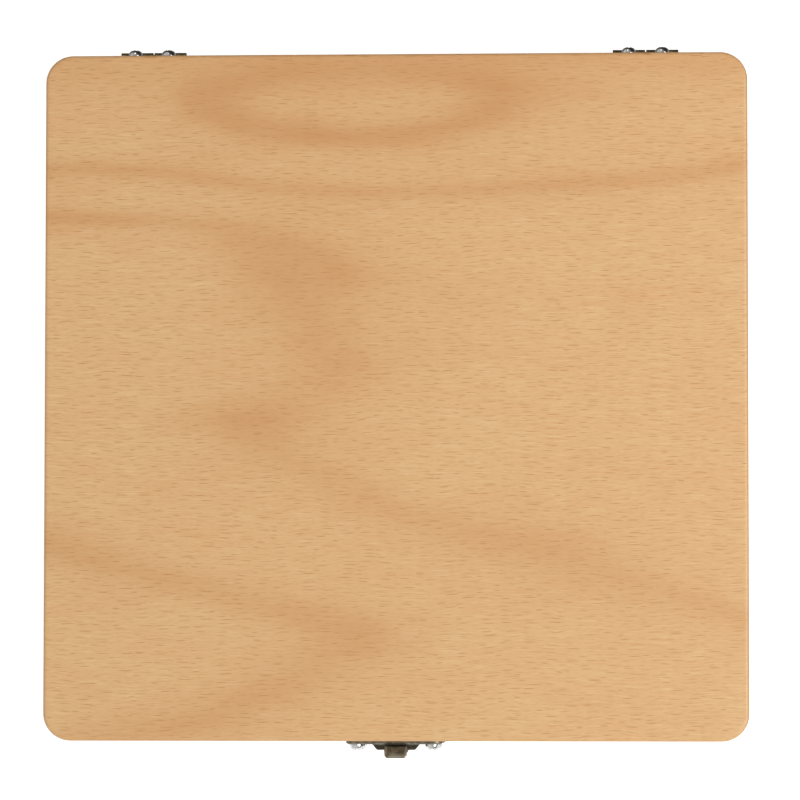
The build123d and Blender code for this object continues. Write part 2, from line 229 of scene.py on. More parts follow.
# A strip of sheet metal along a path in the (y, z) plane. Its cross-section is a flat
# rounded rectangle whose half-width is given at each point. Rims stand along both edges of
# the face on the left of the path, or on its right where the rim is negative.
def sheetStrip(path, halfWidth, thickness, centreX, edge, rim=0.0):
    tangent = np.gradient(path, axis=0)
    tangent /= np.linalg.norm(tangent, axis=1)[:, None]
    normal = np.stack([-tangent[:, 1], tangent[:, 0]], axis=1)
    turn = np.linspace(0, math.pi / 2, 4)
    flat = np.linspace(1, -1, 23)[1:-1]
    coreU = np.concatenate([np.ones(4), flat, -np.ones(8), -flat, np.ones(4)])
    coreV = np.concatenate([np.ones(8 + len(flat)), -np.ones(8 + len(flat))])
    angle = np.concatenate([turn, np.full(len(flat), math.pi / 2), turn + math.pi / 2,
                            turn + math.pi, np.full(len(flat), 1.5 * math.pi),
                            turn + 1.5 * math.pi])
    raised = rim * np.exp(-((np.abs(coreU) - 0.9) / 0.1) ** 2) * (coreV * rim > 0)
    x = centreX + coreU[None] * (halfWidth[:, None] - edge) + edge * np.cos(angle)[None]
    out = coreV * (thickness / 2 - edge) + edge * np.sin(angle) + raised
    yz = path[:, None] + normal[:, None] * out[None, :, None]
    points = np.concatenate([x[..., None], yz], axis=2)
    count = len(coreU)
    ids = np.arange(points.shape[0] * count).reshape(-1, count)
    following = np.roll(ids, -1, axis=1)
    quads = np.stack([ids[:-1], following[:-1], following[1:], ids[1:]], axis=-1).reshape(-1, 4)
    faces = [quads, [ids[0][::-1]], [ids[-1]]]
    return outwards(points.reshape(-1, 3), faces)


# Turns a closed shell's faces over if the volume under them adds up to less than nothing
def outwards(points, faces):
    quads = faces[0]
    a, b, c, d = (points[quads[:, k]] - points.mean(axis=0) for k in range(4))
    volume = (np.einsum("ij,ij->i", a, np.cross(b, c)) + np.einsum("ij,ij->i", a, np.cross(c, d)))
    if volume.sum() < 0:
        faces = [np.asarray(group)[:, ::-1] for group in faces]
    return points, faces


# A shell modelled flat is stood on a wall: its x, y and z go along the three given axes
def stand(shell, origin, alongX, alongY, alongZ):
    points, faces = shell
    return points @ np.array([alongX, alongY, alongZ], float) + np.array(origin, float), faces


def movedTo(shell, offset):
    return shell[0] + np.array(offset, float), shell[1]


# Beech, planed and sanded: a pale pinkish straw wood with soft darker growth bands and
# short brown flecks along the grain. End grain is darker and full of fine pores. The lid and
# the outside carry a thin satin lacquer; the inside is bare. Cells, halves and spans are in
# millimetres along and across the grain. Four numbers map the first two onto the last two.
beech = {
    "light": "DCB27D", "band": "C98F57", "fleck": "BA8346", "warm": "DAA16B", "pale": "E9C798",
    "endGrain": "C08E5F", "glueLine": "7E5836",
    "fleckCell": (7.4, 1.5), "fleckHalf": (2.5, 0.135),
    "poreCell": (3.8, 0.8), "poreHalf": (1.45, 0.105), "poreDepth": 0.45,
    "lengths": (0.45, 1.25), "lens": (1.25, 0.45, 0.0, 1.0), "depths": (0.3, 0.98),
    "wanderSpan": 32.0, "wanderReach": 4.2,
    "fibreSpan": (13.0, 0.36), "mottleSpan": (52.0, 11.0), "ringSpan": (150.0, 8.0),
    "uneven": (0.3, 0.7, 0.9, 1.1), "rings": (0.48, 0.68, 0.0, 0.75),
    "warmth": (0.35, 0.75, 0.08, 0.34), "paleness": (0.55, 0.85, 0.0, 0.8),
    "threads": (0.48, 0.2, 0.0, 0.35),
    "endFacing": (0.55, 0.9, 0.0, 1.0), "endCell": 0.7, "endDots": (0.42, 0.12, 0.0, 0.55),
    "glueHalf": (0.16, 0.05), "glueDepth": 0.8,
    "bump": (0.08, 0.05), "lacquered": (0.46, 0.62), "bare": (0.6, 0.8), "ior": 1.5,
    "coat": 0.12, "coatRough": 0.3,
}


# A point's place along and across the grain, counted in spans of the given millimetres
def grainPlace(tree, along, across, span):
    counted = [add(tree, "Math", [way, 1 / (length * mm)], operation="MULTIPLY")
               for way, length in zip((along, across), span)]
    return add(tree, "CombineXYZ", counted)


# Noise drawn out along the grain
def stretchedNoise(tree, along, across, span, detail):
    return add(tree, "TexNoise", {
        "Vector": grainPlace(tree, along, across, span), "Scale": 1.0, "Detail": detail,
        "Roughness": 0.55}, noise_dimensions="2D")


# One layer of flecks. Cells of the given size each hold a lens of the given half-length and
# half-thickness at their own point, with a length and a darkness of its own.
def fleckLayer(tree, along, across, cell, half):
    place = grainPlace(tree, along, across, cell)
    cells = add(tree, "TexVoronoi", {"Vector": place, "Scale": 1.0, "Randomness": 0.9},
                voronoi_dimensions="2D")
    chance = add(tree, "SeparateColor", [cells.outputs["Color"]])
    offset = add(tree, "VectorMath", [place, cells.outputs["Position"]], operation="SUBTRACT")
    lengths = [share * half[0] / cell[0] for share in beech["lengths"]]
    length = add(tree, "MapRange", [chance.outputs[0], 0.0, 1.0, *lengths])
    size = add(tree, "CombineXYZ", [length, half[1] / cell[1], 1.0])
    away = add(tree, "VectorMath", [offset, size], operation="DIVIDE")
    reach = add(tree, "VectorMath", [away], operation="LENGTH").outputs["Value"]
    lens = add(tree, "MapRange", [reach, *beech["lens"]], interpolation_type="SMOOTHSTEP")
    depth = add(tree, "MapRange", [chance.outputs[1], 0.0, 1.0, *beech["depths"]])
    return add(tree, "Math", [lens, depth], operation="MULTIPLY")


# grain is "x" or "y". figured reads the growth bands, and the painted shade along the lid's
# hinge edge, from the mesh; other boards get soft bands along the grain. joint gives a
# finger joint's lowest edge, finger height and where the fingers begin along the board.
def beechMaterial(name, grain="x", shift=(0, 0, 0), figured=False, joint=None, lacquer=True):
    material, tree, place = newMaterial(name)
    grainAxis = "xy".index(grain)
    turned = add(tree, "Mapping", {"Vector": place, "Location": tuple(s * mm for s in shift),
                                   "Rotation": (0, 0, math.pi / 2 * grainAxis)})
    own = add(tree, "SeparateXYZ", [turned])
    both = add(tree, "Math", [own.outputs[1], own.outputs[2]], operation="ADD")
    wander = add(tree, "TexNoise", {"Vector": turned, "Scale": 1 / (beech["wanderSpan"] * mm),
                                    "Detail": 2.0, "Roughness": 0.5})
    across = add(tree, "Math", [wander, beech["wanderReach"] * mm, both], operation="MULTIPLY_ADD")
    along = own.outputs[0]
    flecks = fleckLayer(tree, along, across, beech["fleckCell"], beech["fleckHalf"])
    pores = fleckLayer(tree, along, across, beech["poreCell"], beech["poreHalf"])
    pores = add(tree, "Math", [pores, beech["poreDepth"]], operation="MULTIPLY")
    fibre = stretchedNoise(tree, along, across, beech["fibreSpan"], 3.0)
    mottle = stretchedNoise(tree, along, across, beech["mottleSpan"], 2.0)
    if figured:
        # the drawn bands hold a painted shade along the hinge edge as well
        drawn = add(tree, "Attribute", attribute_name="figure").outputs["Fac"]
        uneven = add(tree, "MapRange", [mottle, *beech["uneven"]])
        bands = add(tree, "Math", [drawn, uneven], operation="MULTIPLY")
    else:
        rings = stretchedNoise(tree, along, across, beech["ringSpan"], 1.0)
        bands = add(tree, "MapRange", [rings, *beech["rings"]], interpolation_type="SMOOTHSTEP")
    warmth = add(tree, "MapRange", [mottle, *beech["warmth"]])
    paleness = add(tree, "MapRange", [fibre, *beech["paleness"]])
    threads = add(tree, "MapRange", [fibre, *beech["threads"]])
    layers = [(share, beech[over]) for share, over in (
        (warmth, "warm"), (paleness, "pale"), (bands, "band"), (threads, "band"),
        (pores, "fleck"), (flecks, "fleck"))]

    # End grain: faces square to the grain, told by the object's own normal
    facing = add(tree, "SeparateXYZ", [add(tree, "TexCoord").outputs["Normal"]])
    square = add(tree, "Math", [facing.outputs[grainAxis]], operation="ABSOLUTE")
    endShare = add(tree, "MapRange", [square, *beech["endFacing"]], interpolation_type="SMOOTHSTEP")
    dots = add(tree, "TexVoronoi", {"Vector": place, "Scale": 1 / (beech["endCell"] * mm)})
    dotted = add(tree, "MapRange", [dots, *beech["endDots"]])
    endColour = add(tree, "Mix", {0: dotted, 6: beech["endGrain"], 7: beech["fleck"]},
                    data_type="RGBA").outputs[2]
    layers.append((endShare, endColour))

    # Glue lines, where the height over the lowest edge is near a whole number of fingers
    if joint:
        low, finger, begins = joint
        world = add(tree, "SeparateXYZ", [place])
        near = world.outputs[2]
        for amount, operation in ((low * mm, "SUBTRACT"), (finger * mm, "DIVIDE"),
                                  (0.5, "PINGPONG")):
            near = add(tree, "Math", [near, amount], operation=operation)
        reaches = [half / finger for half in beech["glueHalf"]]
        line = add(tree, "MapRange", [near, *reaches, 0.0, beech["glueDepth"]])
        distance = add(tree, "Math", [world.outputs[grainAxis]], operation="ABSOLUTE")
        inJoint = add(tree, "Math", [distance, begins * mm], operation="GREATER_THAN")
        line = add(tree, "Math", [line, inJoint], operation="MULTIPLY")
        layers.append((line, beech["glueLine"]))

    relief = add(tree, "Math", [flecks, -1.0, fibre], operation="MULTIPLY_ADD")
    finish = beech["lacquered" if lacquer else "bare"]
    closeMaterial(tree, beech["light"], layers, [fibre, 0.0, 1.0, *finish], relief, beech["bump"], {
        "IOR": beech["ior"], "Coat Weight": beech["coat"] if lacquer else 0.0,
        "Coat Roughness": beech["coatRough"]})
    return material


# The lid panel is one flat-sawn board, its growth bands drawn where the photograph has them,
# and with them a painted shade along the hinge edge. halo is the share of a band's strength
# that runs out haloReach times as far as the rest, and alongGrain shortens distances along the
# grain.
panel = {
    "radius": 10.0, "bottom": 40.0, "top": 44.0, "roundover": 1.45, "spacing": 1.3,
    "halo": 0.2, "haloReach": 3.0, "alongGrain": 0.8,
}
# Each band is a run of points (x, y, half-width, strength) in millimetres on the panel
bandsAndEdgeShade = [
    # the long band below the loop, from edge to edge
    [(-129, 84, 2.8, .6), (-106, 83.4, 2.7, .56), (-87, 82, 2.8, .5), (-66, 79, 2.9, .48),
     (-40, 75.6, 2.8, .46), (-10, 74.2, 2.9, .48), (20, 74.4, 3, .5), (48, 75.6, 3.3, .52),
     (76, 77.6, 3.6, .52), (104, 80.2, 3.8, .5), (129, 83.6, 3.6, .5)],
    # the second band, which swells into the dark patch
    [(-129, 65.8, 3, .66), (-106, 64.8, 3, .62), (-87, 64, 2.8, .5), (-68, 62.2, 3.2, .45),
     (-52, 59.6, 4.2, .4), (-37, 55.6, 5.2, .4), (-26, 50.4, 5.6, .36), (-18, 44, 5.6, .28)],
    # the patch, the neck below it and the knee where the diagonal starts
    [(-57, 54, 9, .42), (-45, 46, 12, .55), (-37, 38, 13.2, .6), (-31, 30, 12.6, .56),
     (-26, 21, 11.6, .46), (-23, 13.5, 11.4, .4), (-28, 6, 10.8, .38), (-36, -1, 10, .38),
     (-46, -7, 10.4, .38), (-52, -10, 10.4, .34)],
    [(-18, 44, 8, .26), (9, 41, 8.5, .15), (36, 37, 8, .06)],
    [(-12, 13, 8, .2), (4, 13, 8, .12), (20, 14, 8, .05)],
    [(-88, -8.6, 4, .1), (-76, -8.4, 5, .22), (-60, -9, 7, .28)],
    # the long diagonal to the right edge
    [(-50, -12, 8.4, .32), (-43, -19, 7.2, .37), (-30, -27.6, 6.4, .36), (-10, -37.4, 6.2, .36),
     (9, -44.6, 6.8, .38), (28, -50, 8, .42), (47, -54.6, 9.4, .46), (65, -60, 10, .47),
     (82, -66, 8.4, .44), (101, -72.4, 5.8, .4), (129, -81, 4.2, .4)],
    # the hairpin at the lower left
    [(-129, -52, 6.2, .5), (-114, -57.6, 6.2, .5), (-98, -62.6, 6, .47), (-83, -66.5, 5.6, .44),
     (-68, -70, 5.4, .4), (-52, -74.6, 5.6, .4), (-37, -79, 6.4, .42), (-22, -83, 7.6, .44),
     (-10, -86, 7.6, .38), (0, -88, 6, .24), (12, -85, 5, .12)],
    [(-14, -91, 7.6, .36), (-26, -97.6, 8, .43), (-41, -105, 7.8, .45), (-56, -112, 7.6, .48),
     (-75, -118.6, 6.4, .48), (-98, -122, 5.4, .4), (-118, -123, 4, .28)],
    # the closed loop near the hinges, heavy at both ends
    [(-86, 110, 5, .12), (-77, 109.5, 6, .54), (-70, 105.5, 6.6, .66), (-58, 100.4, 6, .7),
     (-43, 97, 5.2, .7), (-27, 95.2, 4.8, .76), (-12, 94.6, 4.7, .74), (7, 96, 4.8, .74),
     (22, 99, 5.6, .76), (33, 103.5, 6.6, .76), (38, 108.5, 7, .7), (33, 113, 6.4, .62),
     (20, 116.6, 5.4, .56), (0, 118.8, 5, .54), (-18, 119, 5, .56), (-37, 118, 5.2, .62),
     (-54, 115.8, 5.8, .6), (-67, 112.6, 6.4, .62), (-77, 109.6, 6, .54)],
    [(-72, 109.6, 7.5, .34), (-61, 109.4, 6.5, .4)],
    [(27, 108.8, 6, .3), (40, 109, 7, .42), (55, 110.4, 6, .36), (70, 111, 5, .2),
     (84, 111.4, 4, .08)],
    # painted shade along the hinge edge, and two faint clouds
    [(-129, 124, 12, .42), (-66, 125, 12, .46), (0, 126, 12, .5), (60, 125, 12, .5),
     (129, 123, 11, .42)],
    [(80, 42, 6, .08), (87, 32, 8, .14), (84, 22, 6, .08)],
]


# Darkness of the growth bands and the painted edge shade at points x, y. Each band is
# smoothed through its points with Catmull-Rom arcs. With d the distance to it over the
# half-width there, a point's share is strength times ((1 - halo) exp(-d^2) + halo
# exp(-(d / haloReach)^2)), and shares add as 1 - product(1 - share).
def bandAndShadeDarkness(x, y):
    halo, haloReach = panel["halo"], panel["haloReach"]
    clear = np.ones(x.size)
    where = np.stack([x.ravel(), y.ravel()], axis=1)
    for band in bandsAndEdgeShade:
        rows = np.array(band, float)
        rows = np.vstack([2 * rows[0] - rows[1], rows, 2 * rows[-1] - rows[-2]])
        t = np.linspace(0, 1, 13)[:-1, None]
        a, b, c, d = (rows[k:len(rows) - 3 + k][:, None] for k in range(4))
        fine = 0.5 * (2 * b + (c - a) * t + (2 * a - 5 * b + 4 * c - d) * t ** 2
                      + (3 * b - a - 3 * c + d) * t ** 3)
        fine = np.vstack([fine.reshape(-1, 4), rows[-2]])
        gap = (where[:, None] - fine[None, :, :2]) * np.array([panel["alongGrain"], 1.0])
        away = np.linalg.norm(gap, axis=2) / fine[None, :, 2]
        nearest = away.argmin(axis=1)
        away = away[np.arange(len(away)), nearest]
        share = fine[nearest, 3] * ((1 - halo) * np.exp(-away ** 2)
                                    + halo * np.exp(-(away / haloReach) ** 2))
        clear *= 1 - np.clip(share, 0, 1)
    return (1 - clear).reshape(x.shape)


# Lines across a span, close together within fine of its ends
def edgeLines(half, spacing, fine=2.0, fineSteps=3):
    steps = int(math.ceil(2 * (half - fine) / spacing))
    middle = np.linspace(-half + fine, half - fine, steps + 1)
    ends = np.linspace(0, fine, fineSteps + 1)[:-1]
    return np.concatenate([-half + ends, middle, (half - ends)[::-1]])


# A quarter circle over the edge, as (inset, level) rows from the top face outwards
def roundover(radius, top, steps=6):
    turn = np.linspace(0, math.pi / 2, steps + 1)
    return [(radius - radius * math.sin(a), top - radius + radius * math.cos(a)) for a in turn]


edge = panel["roundover"]
rim = roundover(edge, panel["top"]) + [(0, panel["bottom"])]
shell = slab(edgeLines(case["halfX"] - edge, panel["spacing"]),
             edgeLines(case["halfY"] - edge, panel["spacing"]), panel["radius"], rim, panel["top"])
# the lid's figure holds its growth bands and a painted shade along the hinge edge
makePiece("beechLidPanel", [shell], beechMaterial("sandedBeechFigured", figured=True),
          "lid_top_panel", {"figure": bandAndShadeDarkness(shell[0][:, 0], shell[0][:, 1])})

# Each kind of board has its pattern moved, so that no two look alike
woods = {"base_bottom_panel": beechMaterial("sandedBeechBottom", shift=(37, 211, 0))}
inside = beechMaterial("bareBeechInside", shift=(13, 57, 0), lacquer=False)
woods.update(pan_tray=inside, brush_divider=inside)
for part, low, finger, offset in (("base", 3.0, 5.0, 0), ("lid", 28.0, 4.0, 90)):
    for grain, way, half, shift, sides in (
            ("x", "Across", "halfX", (17 + offset, 31, 5), ("front", "back")),
            ("y", "Deep", "halfY", (71, 9 + offset, 12), ("left", "right"))):
        finish = beechMaterial(f"{part}RailBeech{way}", grain, shift,
                               joint=(low, finger, case[half] - case["rail"]))
        for side in sides:
            woods[f"{part}_{side}_rail"] = finish
for name, finish in woods.items():
    materials = frame["nodes"][name].data.materials
    materials.clear()
    materials.append(finish)
print("beech done")


# Antique-bronzed steel: dark brown plating, a little olive. On the latch one attribute lays
# the lighter tone on as a painted highlight along the lever's rims and tip, and another the deep
# one as painted shade on the hook's slopes. nickelPlate is bright barrel plating and drawnWire
# plain drawn steel. cloud is the size of the patches.
metals = {
    "bronzedHinge": {"dark": "4E4530", "light": "857552", "rough": 0.4, "cloud": 2.4, "metal": 0.85},
    "bronzedLatch": {"deep": "36302A", "dark": "575145", "light": "857B69", "rubbed": "958D7C",
                     "rough": 0.38, "cloud": 1.8, "metal": 0.8},
    "nickelPlate": {"dark": "BDBCB8", "light": "EDECE8", "rough": 0.15, "cloud": 1.6, "metal": 1.0},
    "drawnWire": {"dark": "6C6A66", "light": "96948E", "rough": 0.32, "cloud": 1.2, "metal": 1.0},
}
metalGrit = {"size": 0.25, "clouds": (0.32, 0.7), "range": (0.3, 0.7), "roughSpread": (-0.06, 0.1),
             "bump": (0.12, 0.02)}


def metalMaterial(name):
    look = metals[name]
    material, tree, place = newMaterial(name)
    cloud = add(tree, "TexNoise", {"Vector": place, "Scale": 1 / (look["cloud"] * mm),
                                   "Detail": 4.0})
    layers = [(add(tree, "MapRange", [cloud, *metalGrit["clouds"]]), look["light"])]
    for label, tone in (("worn", "rubbed"), ("patina", "deep")):
        if tone in look:
            drawn = add(tree, "Attribute", attribute_name=label).outputs["Fac"]
            layers.append((drawn, look[tone]))
    grit = add(tree, "TexNoise", {"Vector": place, "Scale": 1 / (metalGrit["size"] * mm),
                                  "Detail": 2.0})
    roughs = [look["rough"] + spread for spread in metalGrit["roughSpread"]]
    closeMaterial(tree, look["dark"], layers, [grit, *metalGrit["range"], *roughs], grit,
                  metalGrit["bump"], {"Metallic": look["metal"]})
    return material


metalOf = {name: metalMaterial(name) for name in metals}

# Round-head wood screws with a cross recess. full is the power that makes the dome full.
screw = {
    "radius": 2.65, "height": 2.4, "rim": 0.25, "shank": 1.1, "length": 7.0, "point": 1.8,
    "full": 2.35, "armHalf": 0.42, "armReach": 1.75, "armSide": 0.16, "armEnd": 0.7,
    "recess": 1.05, "steps": 44,
}
# sheetRoute is how a knuckle's strip runs into its plate: y, and how far z is from the pin
hinge = {
    "centres": {"left": -90.0, "right": 91.0}, "length": 24.0, "height": 10.0,
    "thickness": 0.7, "corner": 1.2, "bevel": 0.6, "spacing": 12.2, "rise": 6.0, "gap": 0.4,
    "knuckles": 4, "axis": (126.5, 28.0), "radius": 1.35, "pin": 0.6, "clear": 0.35,
    "sheetRoute": [(125.48, 0.8), (125.36, 1.7), (125.35, 3.4)],
}
latch = {
    "width": 35.2, "height": 9.0, "thickness": 1.0, "strikeFace": 1.2, "corner": 2.9,
    "bevel": (0.9, 0.55), "spacing": 27.6, "shift": -0.5, "strikeZ": 35.0, "lowerZ": 16.6,
    "axis": (-126.5, 22.8), "radius": 1.35, "pinHalf": 6.0, "sheet": 0.7,
    "knuckleHalf": 1.05, "knuckleX": 4.95,
    "sheetRoute": [(-125.47, 0.8), (-125.5, 2.4), (-125.55, 4.7)],
}
# The strike plate's hook: half its length at the root, how far its ends, the ramp below and
# the catch above run in, where those two start, and its nose over the wall. soften is how
# sharp its edges are, and lift makes up for what they lose.
hook = {"half": 8.5, "endRun": 1.5, "rampZ": 31.4, "rampRun": 2.3, "catchZ": 36.0,
        "catchRun": 0.6, "nose": 3.2, "soften": 14.0, "lift": 0.03}


# One screw, head up along z. With r the distance from its axis over its radius, the dome's
# height is height * (1 - r^full)^(1/full); each arm of the cross is a valley whose depth falls
# off smoothly across its width and towards its end.
def screwShell(turn):
    radius, height = screw["radius"], screw["height"] - screw["rim"]

    def domeAt(x, y):
        out = np.clip((x * x + y * y) / radius ** 2, 0, 1) ** (screw["full"] / 2)
        dome = height * (1 - out) ** (1 / screw["full"])
        c, s = math.cos(turn), math.sin(turn)
        u, v = x * c + y * s, y * c - x * s

        def arm(a, b):
            side = np.clip((screw["armHalf"] - np.abs(b)) / screw["armSide"], 0, 1)
            end = np.clip((screw["armReach"] - np.abs(a)) / screw["armEnd"], 0, 1)
            return side * side * (3 - 2 * side) * end

        return screw["rim"] + dome - screw["recess"] * np.maximum(arm(u, v), arm(v, u))

    # the lines crowd towards the edge, where the dome is steep
    lines = radius * np.sin(np.linspace(-math.pi / 2, math.pi / 2, screw["steps"] + 1) * 0.999)
    lines = 0.45 * lines / lines[-1] * radius + 0.55 * np.linspace(-radius, radius, len(lines))
    shank = radius - screw["shank"]
    rim = [(0, screw["rim"]), (0, 0.05), (0.05, 0), (shank, 0),
           (shank, screw["point"] - screw["length"]), (radius - 0.12, -screw["length"])]
    return slab(lines, lines, radius, rim, domeAt)


# Screws in a row at height z, behind where outward is 1 and in front where it is -1, each
# cross turned by its own degrees
def screwGroup(name, node, xs, z, outward, turns):
    y = outward * (case["halfY"] + (hinge if outward > 0 else latch)["thickness"])
    shells = [stand(screwShell(math.radians(turn)), (x, y, z), (-outward, 0, 0), (0, 0, 1),
                    (0, outward, 0)) for x, turn in zip(xs, turns)]
    makePiece(name, shells, metalOf["nickelPlate"], node, sharpAngle=50.0)


hingeXs = [centre + side * hinge["spacing"] / 2 for centre in hinge["centres"].values()
           for side in (-1, 1)]
latchXs = [latch["shift"] + side * latch["spacing"] / 2 for side in (-1, 1)]
screwGroup("lidHingeScrews", "hinge_lid_screws", hingeXs, hinge["axis"][1] + hinge["rise"], 1,
           (28, 63, 12, 47))
screwGroup("baseHingeScrews", "hinge_base_screws", hingeXs, hinge["axis"][1] - hinge["rise"], 1,
           (71, 35, 5, 82))
screwGroup("strikeScrews", "latch_strike_screws", latchXs, latch["strikeZ"], -1, (8, 84))
screwGroup("lowerPlateScrews", "latch_lower_screws", latchXs, latch["lowerZ"], -1, (31, 66))


# The curl of a knuckle round its pin in the (y, z) plane, from the free end of the sheet to
# where it leaves the barrel. side is the way from the pin to the sheet, up the way it leaves.
def curl(pin, radius, side, up):
    angle = np.radians(np.linspace(300, 0, 34))
    return np.stack([pin[0] + side * radius * np.cos(angle),
                     pin[1] - up * radius * np.sin(angle)], axis=1)


# The rest of that strip, into the plate
def onward(fitting, up):
    return [(y, fitting["axis"][1] + up * away) for y, away in fitting["sheetRoute"]]


# A hinge leaf: the plate behind, and each knuckle a strip rolled out of it round the pin
def hingeLeaf(side, lid):
    centre = hinge["centres"][side]
    up = 1 if lid else -1
    foot = hinge["radius"] + hinge["clear"]
    thickness, edge = hinge["thickness"], hinge["bevel"]
    halfX, halfZ = hinge["length"] / 2, (hinge["height"] - foot) / 2
    rim = [(edge, thickness), (edge * 0.8, thickness - 0.04), (0.04, 0.14), (0, 0)]
    plate = slab(edgeLines(halfX - edge, 1.2, 1.0), edgeLines(halfZ - edge, 1.2, 1.0),
                 hinge["corner"], rim, thickness)
    shells = [stand(plate, (centre, case["halfY"], hinge["axis"][1] + up * (foot + halfZ)),
                    (-1, 0, 0), (0, 0, 1), (0, 1, 0))]
    pitch = (hinge["length"] + hinge["gap"]) / hinge["knuckles"]
    middle = (hinge["knuckles"] - 1) / 2
    rolled = curl(hinge["axis"], hinge["radius"] - thickness / 2, -1, up)
    path, _ = evenly(np.vstack([rolled, onward(hinge, up)]), 0.22)
    half = np.full(len(path), (pitch - hinge["gap"]) / 2)
    for k in range(0 if lid else 1, hinge["knuckles"], 2):
        shells.append(sheetStrip(path, half, thickness, centre + (k - middle) * pitch, 0.1))
    part = "lid" if lid else "base"
    makePiece(side + part.title() + "Leaf", shells, metalOf["bronzedHinge"],
              f"{side}_hinge_{part}_leaf")


# A pin along x with softly domed ends
def pinPiece(name, node, centre, half, axis):
    radius = hinge["pin"]
    core, direction = roundedLoop(radius, radius, radius, 7)
    profile = [(radius - 0.2, half), (0.12, half - 0.04), (0, half - 0.16), (0, -half + 0.16),
               (0.12, -half + 0.04), (radius - 0.2, -half)]
    shell = ringShell(core, direction, radius, profile)
    makePiece(name, [stand(shell, (centre, *axis), (0, 1, 0), (0, 0, 1), (1, 0, 0))],
              metalOf["drawnWire"], node)


for side, centre in hinge["centres"].items():
    hingeLeaf(side, True)
    hingeLeaf(side, False)
    pinPiece(side + "HingePin", side + "_hinge_pin", centre, hinge["length"] / 2, hinge["axis"])
print("hinges done")


# Height of the strike plate above the wall: its flat, plus a hook pressed out of it whose
# four sides slope in from the root to the nose. The lowest slope wins, softened by a
# smooth minimum.
def strikeHeight(x, z):
    x, z = x + latch["shift"], z + latch["strikeZ"]
    flat, soften = latch["strikeFace"], hook["soften"]
    slopes = [(hook["half"] - np.abs(x)) / hook["endRun"], (z - hook["rampZ"]) / hook["rampRun"],
              (hook["catchZ"] - z) / hook["catchRun"], np.ones_like(x)]
    soft = -np.log(sum(np.exp(-soften * np.clip(s, -2, 2)) for s in slopes)) / soften
    return flat + (hook["nose"] - flat) * np.clip(soft + hook["lift"], 0, None), soft


def latchPlate(heightAt, thickness, spacing):
    inset, drop = latch["bevel"]
    rim = [(inset, thickness), (inset * 0.7, thickness - drop * 0.16),
           (0.12, thickness - drop * 0.86), (0, thickness - drop), (0, 0)]
    xLines = edgeLines(latch["width"] / 2 - inset, spacing)
    yLines = edgeLines(latch["height"] / 2 - inset, spacing, 1.0)
    return slab(xLines, yLines, latch["corner"], rim, heightAt)


def onFront(shell, x, z):
    return stand(shell, (x, -case["halfY"], z), (1, 0, 0), (0, 0, 1), (0, -1, 0))


plate = latchPlate(lambda x, z: strikeHeight(x, z)[0], latch["strikeFace"], 0.22)
rise = np.clip(strikeHeight(plate[0][:, 0], plate[0][:, 1])[1], 0, 1)
patina = np.clip(5 * rise * (1 - rise), 0, 0.8)        # painted shade on the hook's slopes
makePiece("strikePlate", [onFront(plate, latch["shift"], latch["strikeZ"])],
          metalOf["bronzedLatch"], "latch_strike_plate", {"patina": patina})

# The lower plate: the same stamping with two knuckles rolled out of its top edge
plate = latchPlate(latch["thickness"], latch["thickness"], 0.8)
lowerShells = [onFront(plate, latch["shift"], latch["lowerZ"])]
rolledRadius = latch["radius"] - latch["sheet"] / 2
path, _ = evenly(np.vstack([curl(latch["axis"], rolledRadius, 1, -1), onward(latch, -1)]), 0.2)
for x in (-latch["knuckleX"], latch["knuckleX"]):
    half = np.full(len(path), latch["knuckleHalf"])
    lowerShells.append(sheetStrip(path, half, latch["sheet"], x, 0.1))
makePiece("lowerPlate", lowerShells, metalOf["bronzedLatch"], "latch_lower_plate")
pinPiece("latchPin", "latch_pin", 0.0, latch["pinHalf"], latch["axis"])

# The lever: a strip rolled round the pin, up past the hook, in over it and out as the tab.
# route is (y, z), widthsAtZ is (z, half-width), rim the edge raised round its outer face. The
# settings after rim place a painted highlight on the tab: where it starts in z, and where it
# lies across the tab and from its tip.
lever = {
    "fold": 0.55, "tipCorner": 1.1, "rim": 0.25, "rubbedZ": (36.8, 0.5),
    "rubbedSide": (0.88, 0.09), "rubbedTip": (0.45, 0.3),
    "route": [(-127.5, 22.8), (-127.5, 27.6), (-128.85, 31.8), (-128.85, 36.3),
              (-126.85, 37.0), (-131.1, 38.6)],
    "widthsAtZ": [(24.5, 3.7), (24.6, 6.0), (27.3, 6.0), (29.8, 4.2), (36.9, 4.25), (38.6, 4.0)],
}
route = roundedPath(lever["route"], lever["fold"])
path, runs = evenly(np.vstack([curl(latch["axis"], rolledRadius, -1, 1)[:-1], route]), 0.18)
widths = np.array(lever["widthsAtZ"])
halfWidth = np.interp(path[:, 1], widths[:, 0], widths[:, 1])
toTip = np.clip(1 - (runs[-1] - runs) / lever["tipCorner"], 0, 1)
halfWidth -= lever["tipCorner"] * (1 - np.sqrt(1 - np.minimum(toTip, 0.97) ** 2))
shell = sheetStrip(path, halfWidth, latch["sheet"], 0.0, 0.12, -lever["rim"])
# Painted highlight in the lighter tone along both raised rims and the tip of the tab
perRing = len(shell[0]) // len(path)
beside = np.abs(shell[0][:, 0]) / np.repeat(halfWidth, perRing)
toTip = np.repeat(runs[-1] - runs, perRing)
worn = [np.exp(-((place - middle) / spread) ** 2) for place, (middle, spread) in (
    (beside, lever["rubbedSide"]), (toTip, lever["rubbedTip"]))]
low, run = lever["rubbedZ"]
worn = np.maximum(*worn) * np.clip((shell[0][:, 2] - low) / run, 0, 1)
makePiece("latchLever", [shell], metalOf["bronzedLatch"], "latch_lever", {"worn": worn})
print("latch done")


# Injection-moulded polystyrene: clean white, a little glossy, faintly uneven
plastic = {"shade": "E6E5DF", "light": "F1F0EB", "wave": 6.0, "rough": (0.22, 0.4),
           "bump": (0.15, 0.05), "ior": 1.58}


